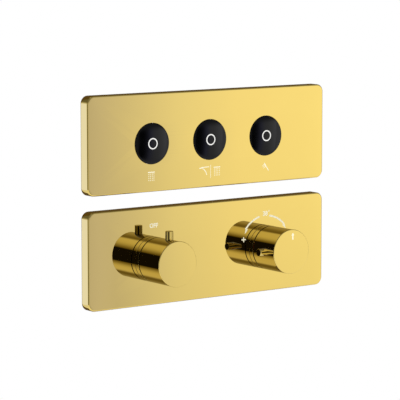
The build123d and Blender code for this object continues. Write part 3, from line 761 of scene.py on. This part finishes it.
def next_stroke(form):
    """Leaves the strokes so far a little behind the next one."""
    bmesh.ops.translate(form, vec=(0, ink_lift, 0), verts=form.verts)


def stroke(form, start, end, width):
    """Straight printed line in the plate's plane from (x, z) to (x, z), in millimetres."""
    next_stroke(form)
    run = Vector((end[0] - start[0], 0, end[1] - start[1])) * mm
    middle = Vector((start[0] + end[0], 0, start[1] + end[1])) * mm / 2
    place = (
        Matrix.Translation(middle)
        @ Matrix.Rotation(-Vector((run.x, run.z)).angle_signed(Vector((1, 0))), 4, "Y")
        @ Matrix.Diagonal((run.length, 1, width * mm, 1))
        @ Matrix.Rotation(radians(90), 4, "X")
    )
    bmesh.ops.create_grid(form, x_segments=1, y_segments=1, size=0.5, matrix=place)


def bow(form, middle, radius, start, end, width):
    """Printed arc about (x, z), in millimetres and in degrees from +X towards +Z."""
    next_stroke(form)

    def point(r):
        a = radians(start)
        return form.verts.new(((middle[0] + r * cos(a)) * mm, 0, (middle[1] + r * sin(a)) * mm))

    inner, outer = point(radius - width / 2), point(radius + width / 2)
    side = form.edges.new((inner, outer))
    bmesh.ops.spin(
        form, geom=[inner, outer, side], cent=(middle[0] * mm, 0, middle[1] * mm),
        axis=(0, -1, 0), angle=radians(end - start), steps=24, use_merge=end - start == 360,
    )


def printed(form, name, depth=print_face, body="valve"):
    """Lays a finished sign on its face, turned to the room, to ride on its body."""
    bmesh.ops.translate(form, vec=(0, depth, 0), verts=form.verts)
    for face in form.faces:
        if face.normal.y > 0:
            face.normal_flip()
    made = set_down(form, name)
    made.data.materials.append(cream)
    made.visible_glossy = False
    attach(made, body)


def lettering(form, words, middle, tall, wide, weight):
    """Plain lettering as flat faces, centred on (x, z), in millimetres."""
    text = bpy.data.curves.new(words, "FONT")
    text.body = words
    text.offset = weight
    text.align_x = "CENTER"
    text.align_y = "CENTER"
    holder = bpy.data.objects.new(words, text)
    scene.collection.objects.link(holder)
    bpy.context.view_layer.update()
    shape = bpy.data.meshes.new_from_object(
        holder.evaluated_get(bpy.context.evaluated_depsgraph_get())
    )
    low = Vector([min(v.co[i] for v in shape.vertices) for i in range(2)])
    high = Vector([max(v.co[i] for v in shape.vertices) for i in range(2)])
    centre = (low + high) / 2
    shape.transform(
        Matrix.Translation((middle[0] * mm, 0, middle[1] * mm))
        @ Matrix.Rotation(radians(90), 4, "X")
        @ Matrix.Diagonal((wide * mm / (high.x - low.x), tall * mm / (high.y - low.y), 1, 1))
        @ Matrix.Translation((-centre.x, -centre.y, 0))
    )
    form.from_mesh(shape)
    bpy.data.objects.remove(holder)
    bpy.data.meshes.remove(shape)


# Knob signs: OFF over the flow knob, and over the temperature knob 38 and a degree sign, two
# arcs with arrow tips, plus and minus.
off_sign = bmesh.new()
lettering(off_sign, "OFF", (-70.5, -26.5), 4.7, 10.4, 0.042)
printed(off_sign, "off_sign")

dial_sign = bmesh.new()
lettering(dial_sign, "38", (72.6, -25.2), 5.2, 6.5, 0.038)
bow(dial_sign, (77.4, -22.8), 0.7, 0, 360, 0.5)
dial_middle = (73.3, -61.1)
bow(dial_sign, dial_middle, 34.0, 104, 142, 2.0)
bow(dial_sign, dial_middle, 33.4, 82, 44, 2.0)
arrow_half = 1.7
for tip, foot in (((45.6, -44.9), (48.2, -39.9)), ((99.9, -43.2), (96.9, -38.3))):
    next_stroke(dial_sign)
    run = Vector((foot[0] - tip[0], foot[1] - tip[1])).normalized() * arrow_half
    corners = (tip, (foot[0] - run.y, foot[1] + run.x), (foot[0] + run.y, foot[1] - run.x))
    dial_sign.faces.new([dial_sign.verts.new((x * mm, 0, z * mm)) for x, z in corners])
plus_and_minus = (
    ((41.3, -50.8), (46.9, -50.8)),
    ((44.1, -53.4), (44.1, -48.2)),
    ((100.6, -50.8), (105.8, -50.8)),
)
for start, end in plus_and_minus:
    stroke(dial_sign, start, end, 1.3)
printed(dial_sign, "dial_sign")

# Outlet signs: a rose with its rain below the left button, a spout, a line and the same rose
# below the middle one, and a hand spray below the right one.
outlet_signs = bmesh.new()
for left in (-77.4, 5.0):
    stroke(outlet_signs, (left, 28.0), (left + 8.4, 28.0), 0.95)
    for x in (left + 1.1, left + 3.2, left + 5.2, left + 7.3):
        for top, bottom in ((26.7, 25.5), (24.6, 23.4), (22.5, 21.3), (20.4, 19.2)):
            stroke(outlet_signs, (x, top), (x, bottom), 0.7)
stroke(outlet_signs, (1.1, 31.0), (1.1, 17.4), 0.5)
stroke(outlet_signs, (-13.3, 28.0), (-8.6, 28.3), 0.9)
stroke(outlet_signs, (-10.6, 28.8), (-0.9, 28.9), 0.8)
bow(outlet_signs, (-12.5, 19.5), 8.6, 66, 8, 0.9)
stroke(outlet_signs, (71.0, 28.4), (76.6, 20.0), 0.95)
stroke(outlet_signs, (70.9, 27.6), (73.2, 24.2), 0.9)
for jet in range(3):
    start = (70.7 + 0.8 * jet, 26.8 - 1.2 * jet)
    stroke(outlet_signs, start, (start[0] - 2.4, start[1] - 1.6), 0.45)
printed(outlet_signs, "outlet_signs")

index_sign = bmesh.new()
stroke(index_sign, (76.4, -48.6), (76.4, -41.9), 1.7)
stroke(index_sign, (75.0, -44.2), (76.4, -41.9), 0.8)
stroke(index_sign, (77.8, -44.2), (76.4, -41.9), 0.8)
printed(index_sign, "index_sign", knob_print_face, "temperature_control")


# Plate carriers: grey moulded trays that the plates snap onto, with collars that guide the
# buttons and the sleeves. They are screwed to pillars on the valve bodies.
parts = frame["record"]["subparts"]
slot_of = {part["node"]: part["material_slot"] for part in parts}
groups = frame["record"]["behaviour"]["bodies"]
body_of = {node: body for body, nodes in groups.items() for node in nodes}
flat_turn = radians(0.3)


def made_from(node, material, broken, body=None):
    """Merged copy of a construction node with its edges broken, which stands for it."""
    form = bmesh.new()
    form.from_mesh(frame["nodes"][node].data)
    bmesh.ops.remove_doubles(form, verts=form.verts, dist=touching)
    bmesh.ops.dissolve_limit(form, angle_limit=flat_turn, verts=form.verts, edges=form.edges)
    body = body or body_of[node]
    piece(form, node + "_made", material, slot_of[node], body, node, broken=broken)


grey_plastic = surface(
    "grey moulded plastic",
    plain,
    ((0.13, 0.14, 0.15, 1), (0.16, 0.17, 0.18, 1)),
    (0.45, 0.6),
    relief=0.02 * mm,
    smudge=60.0,
    line=900.0,
    run=every_way,
)
for name in ("button_plate_carrier", "thermostat_plate_carrier"):
    made_from(name, grey_plastic, 0.15 * mm)


# Foam seals: frames of black closed-cell foam, cut from sheet and laid inside the rim of each
# plate, so that no water gets in between the plate and the tiles.
foam = surface(
    "black cell foam",
    plain,
    ((0.035, 0.035, 0.037, 1), (0.07, 0.07, 0.072, 1)),
    (0.85, 0.95),
    relief=0.2 * mm,
    smudge=400.0,
    line=700.0,
    run=every_way,
)
for name in ("button_plate_gasket", "thermostat_plate_gasket"):
    made_from(name, foam, 0.0)


# Pillars and carrier screws: hexagon brass spacers screwed into lugs on the bodies, and
# pan-head steel screws with a cross recess that hold the carriers to them.
def brass(name, run):
    """Turned brass, the tool marks running round the axis that it was turned about."""
    return surface(
        name,
        metallic,
        ((0.72, 0.52, 0.21, 1), (0.80, 0.59, 0.25, 1)),
        (0.2, 0.32),
        relief=0.012 * mm,
        line=900.0,
        run=run,
    )


turned_brass = brass("turned brass", round_y)
steel = surface(
    "bright steel",
    metallic,
    ((0.56, 0.55, 0.54, 1), (0.63, 0.62, 0.60, 1)),
    (0.2, 0.34),
    relief=0.01 * mm,
    line=900.0,
    run=round_y,
)
made_from("carrier_pillars", turned_brass, 0.12 * mm)
made_from("carrier_screws", steel, 0.1 * mm)


# Knob sleeves and stop rings: brass tubes screwed over the valve noses that carry the base
# rings, and white moulded rings whose slots end the travel of the knobs.
white_plastic = surface(
    "white moulded plastic",
    plain,
    ((0.78, 0.78, 0.76, 1), (0.83, 0.83, 0.81, 1)),
    (0.38, 0.5),
    relief=0.01 * mm,
    smudge=60.0,
    line=900.0,
    run=every_way,
)
for name in knob_x:
    made_from(name + "_sleeve", turned_brass, 0.12 * mm)
    made_from(name + "_stop_ring", white_plastic, 0.12 * mm)


# Knob hubs and set screws: white moulded hubs with a square drive and a stop lug, each
# locked in its knob by a small hexagon-socket screw from below.
for name in knob_x:
    made_from(name + "_knob_insert", white_plastic, 0.12 * mm)
    made_from(name + "_knob_screw", steel, 0.05 * mm)


# Flow valve: a brass cartridge with a square-ended spindle that turns one ground ceramic
# disc on another.
ceramic = surface(
    "ground ceramic",
    plain,
    ((0.80, 0.78, 0.73, 1), (0.86, 0.84, 0.79, 1)),
    (0.2, 0.3),
    smudge=60.0,
)
made_from("flow_spindle", turned_brass, 0.1 * mm)
made_from("flow_moving_disc", ceramic, 0.1 * mm)
made_from("flow_fixed_disc", ceramic, 0.1 * mm)
made_from("flow_cartridge", turned_brass, 0.15 * mm)


# Thermostat: the temperature spindle moves a brass wax element along its cartridge, and a
# steel spring between the element and the cartridge's end pushes it back.
spring_steel = surface(
    "drawn spring wire",
    metallic,
    ((0.50, 0.495, 0.49, 1), (0.60, 0.59, 0.58, 1)),
    (0.16, 0.26),
    smudge=300.0,
)
made_from("temperature_spindle", turned_brass, 0.1 * mm)
made_from("thermostat_element", turned_brass, 0.1 * mm)
warm_x = knob_x["temperature"]
fixed_end = (warm_x, 50.0 * mm, knob_z)
moving_end = (warm_x, 30.0 * mm, knob_z)
spring_ends = ("valve", fixed_end, "thermostat_shuttle", moving_end)
made_from("thermostat_spring", spring_steel, 0.0, spring_ends)
made_from("thermostat_cartridge", turned_brass, 0.15 * mm)


# Button valves: a brass plunger under each cap, its return spring from the cartridge to
# the plunger's flange, and the hexagon cartridge it slides in, screwed into the diverter.
for name, x in button_x.items():
    made_from(name + "_button_plunger", turned_brass, 0.1 * mm)
    fixed_end = (x, 6.0 * mm, button_z)
    moving_end = (x, -4.5 * mm, button_z)
    spring_ends = ("valve", fixed_end, name + "_button", moving_end)
    made_from(name + "_button_spring", spring_steel, 0.0, spring_ends)
    made_from(name + "_button_cartridge", turned_brass, 0.15 * mm)


# Mixer and diverter: drawn brass bars with machined collars, bosses, lugs, pads and ports
# set onto them and brazed. A bead of braze runs round each joint.
bar_brass = surface(
    "blasted brass",
    metallic,
    ((0.56, 0.40, 0.165, 1), (0.67, 0.49, 0.215, 1)),
    (0.40, 0.54),
    relief=0.05 * mm,
    smudge=110.0,
    line=900.0,
    run=every_way,
)
braze = surface(
    "braze metal",
    metallic,
    ((0.68, 0.53, 0.27, 1), (0.78, 0.66, 0.40, 1)),
    (0.22, 0.36),
    relief=0.06 * mm,
    smudge=260.0,
    line=500.0,
    run=every_way,
)
for name in ("mixer_body", "mixer_ports", "diverter_body", "diverter_ports"):
    made_from(name, bar_brass, 0.25 * mm)

body_y = 45.0 * mm
mixer_r = 22.0 * mm
diverter_r = 20.0 * mm
rail_x = 36.25 * mm
port_r = 15.0 * mm
nose_r = 21.0 * mm
button_boss_r = 17.0 * mm
lug_r = 7.0 * mm
pad_r = 9.0 * mm
bead_r = 0.9 * mm
forwards = radians(90)
backwards = radians(-90)
upwards = 0.0
downwards = radians(180)


def add_to(form, part):
    """Takes a finished part up into a larger form."""
    mesh = bpy.data.meshes.new("part")
    part.to_mesh(mesh)
    part.free()
    form.from_mesh(mesh)
    bpy.data.meshes.remove(mesh)


def braze_bead(form, x, level, joint_r, bar_r, tilt):
    """Bead round a joint, bent over the bar it lies on."""
    bead = bmesh.new()
    place = Matrix.Translation((joint_r, 0, 0)) @ Matrix.Rotation(radians(90), 4, "X")
    bmesh.ops.create_circle(bead, radius=bead_r, segments=10, matrix=place)
    bmesh.ops.spin(
        bead, geom=list(bead.verts) + list(bead.edges), cent=(0, 0, 0), axis=(0, 0, 1),
        angle=2 * pi, steps=72, use_merge=True,
    )
    bmesh.ops.remove_doubles(bead, verts=bead.verts, dist=touching)
    for v in bead.verts:
        v.co.z += sqrt(max(bar_r**2 - v.co.y**2, 0.0))
    bmesh.ops.rotate(bead, matrix=Matrix.Rotation(tilt, 3, "X"), verts=bead.verts)
    bmesh.ops.translate(bead, vec=(x, body_y, level), verts=bead.verts)
    bmesh.ops.recalc_face_normals(bead, faces=bead.faces)
    add_to(form, bead)


beads = bmesh.new()
for x in knob_x.values():
    braze_bead(beads, x, knob_z, nose_r, mixer_r, forwards)
for x in button_x.values():
    braze_bead(beads, x, button_z, button_boss_r, diverter_r, forwards)
    braze_bead(beads, x, button_z, port_r, diverter_r, upwards)
for x in (-rail_x, rail_x):
    for level, bar_r in ((knob_z, mixer_r), (button_z, diverter_r)):
        braze_bead(beads, x, level, lug_r, bar_r, forwards)
        braze_bead(beads, x, level, pad_r, bar_r, backwards)
braze_bead(beads, 0.0, knob_z, port_r, mixer_r, upwards)
braze_bead(beads, 0.0, button_z, port_r, diverter_r, downwards)
piece(beads, "braze_beads", braze, "cast_brass", "valve")


# Riser: a short copper pipe between the bodies, its ends sealed by O-rings and held by
# brass union nuts.
copper = surface(
    "drawn copper",
    metallic,
    ((0.66, 0.31, 0.20, 1), (0.83, 0.43, 0.29, 1)),
    (0.16, 0.3),
    relief=0.01 * mm,
    smudge=45.0,
    line=300.0,
    run=(1.0, 1.0, 0.03),
)
brass_round_z = brass("brass turned upright", round_z)
rubber = surface(
    "black rubber",
    plain,
    ((0.018, 0.018, 0.018, 1), (0.03, 0.03, 0.03, 1)),
    (0.55, 0.7),
    relief=0.01 * mm,
    line=900.0,
)
made_from("riser_pipe", copper, 0.1 * mm)
made_from("riser_nuts", brass_round_z, 0.2 * mm)
made_from("riser_seals", rubber, 0.0)


# Inlets: hexagon brass unions at both ends of the mixer with a half-inch pipe thread
# inside, and white check valves with strainers pressed into them.
brass_round_x = brass("brass turned along", round_x)


def pipe_thread(form, mouth, inwards):
    """Thread ridge wound into a bore from its mouth."""
    pitch = 1.814 * mm
    bore_r = 9.3 * mm
    root_r = bore_r + 0.1 * mm
    tip_r = bore_r - 0.65 * mm
    lead_in = 0.3 * mm
    turns = 7
    steps = 36
    ridge = bmesh.new()
    profile = ((root_r, lead_in), (tip_r, lead_in + pitch / 2), (root_r, lead_in + pitch))
    corners = [ridge.verts.new((radius, depth, 0)) for radius, depth in profile]
    sides = [ridge.edges.new((corners[i], corners[i - 1])) for i in range(3)]
    bmesh.ops.spin(
        ridge, geom=corners + sides, cent=(0, 0, 0), axis=(0, 1, 0),
        dvec=(0, pitch / steps, 0), angle=2 * pi * turns, steps=turns * steps,
    )
    bmesh.ops.holes_fill(ridge, edges=ridge.edges)
    bmesh.ops.recalc_face_normals(ridge, faces=ridge.faces)
    aim(ridge, inwards, mouth)
    add_to(form, ridge)


mixer_end = 124.0 * mm
for name, way_in in (("hot", 1), ("cold", -1)):
    made_from(name + "_inlet_union", brass_round_x, 0.2 * mm)
    threads = bmesh.new()
    pipe_thread(threads, (-mixer_end * way_in, body_y, knob_z), (way_in, 0, 0))
    piece(threads, name + "_inlet_thread", brass_round_x, "machined_brass", "valve")
made_from("check_valves", white_plastic, 0.08 * mm)


# Outlets: three hexagon brass unions on top of the diverter, threaded like the inlets, one
# above each button.
outlet_top = 101.1 * mm
for name, x in button_x.items():
    made_from(name + "_outlet_union", brass_round_z, 0.2 * mm)
    threads = bmesh.new()
    pipe_thread(threads, (x, body_y, outlet_top), (0, 0, -1))
    piece(threads, name + "_outlet_thread", brass_round_z, "machined_brass", "valve")


# Rails: two upright stainless strips, brushed lengthwise, slotted for the wall screws and
# held to the bodies by countersunk hexagon-socket screws.
brushed_steel = surface(
    "brushed stainless",
    metallic,
    ((0.54, 0.535, 0.525, 1), (0.62, 0.61, 0.60, 1)),
    (0.26, 0.38),
    relief=0.01 * mm,
    line=700.0,
    run=(1.0, 1.0, 0.02),
)
made_from("wall_rails", brushed_steel, 0.2 * mm)
made_from("body_screws", steel, 0.08 * mm)
